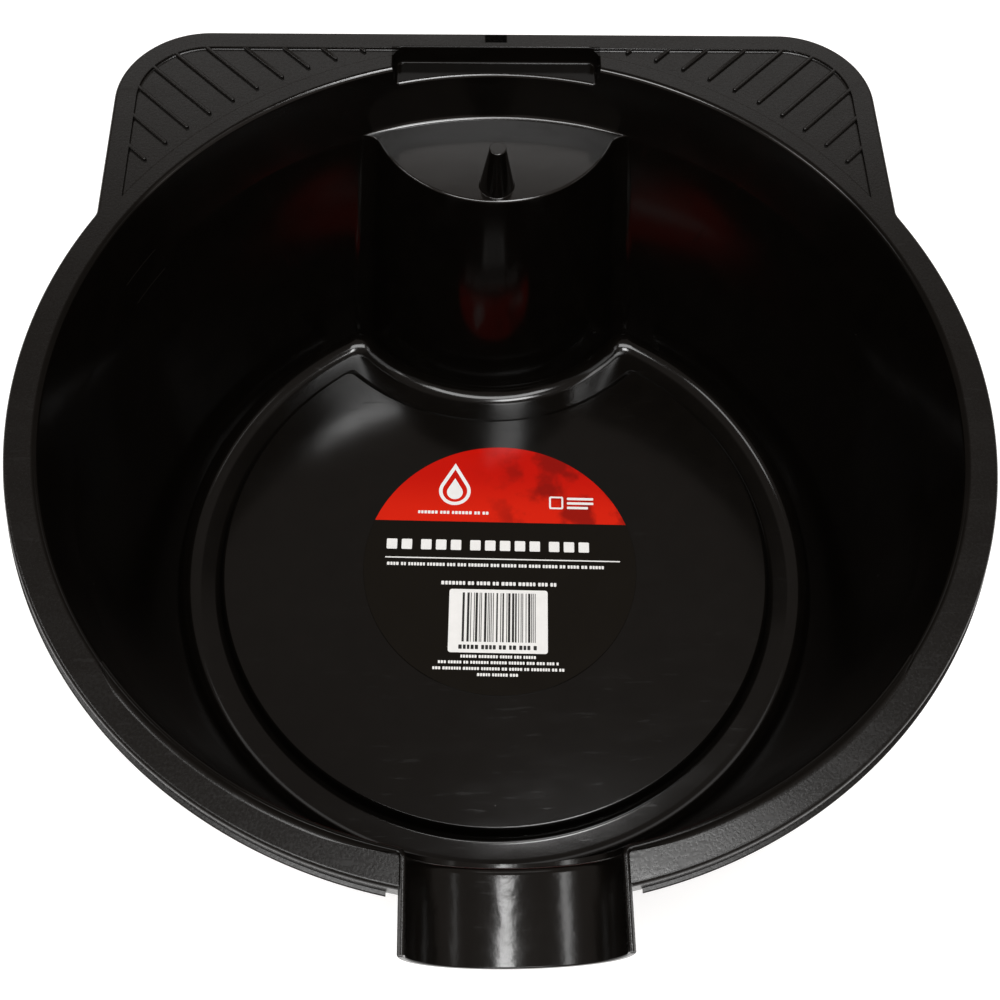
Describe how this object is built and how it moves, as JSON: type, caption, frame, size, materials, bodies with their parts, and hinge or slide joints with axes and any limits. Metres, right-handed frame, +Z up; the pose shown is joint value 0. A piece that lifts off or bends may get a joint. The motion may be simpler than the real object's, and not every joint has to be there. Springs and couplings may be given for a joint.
{
  "type": "oil drain pan",
  "caption": "Round tapered drain pan with a pouring spout, a flat rim, a ribbed rear drip deck and an inner filter stand with a peg.",
  "frame": {"origin": "centre of the bounding box's base, on the ground the pan stands on; the basin's own axis is 5.35 mm behind it", "axes": "+Z up out of the open basin, -Y towards the pouring spout, +Y towards the rear deck and the filter stand, X across"},
  "size_m": [0.3548, 0.3728, 0.1465],
  "materials": {
    "pan_plastic": "black moulded plastic, satin on the rim and semi-gloss inside",
    "label_film": "glossy printed film"
  },
  "bodies": {
    "root": {"pan_body": "pan_plastic", "label": "label_film"}
  },
  "joints": []
}
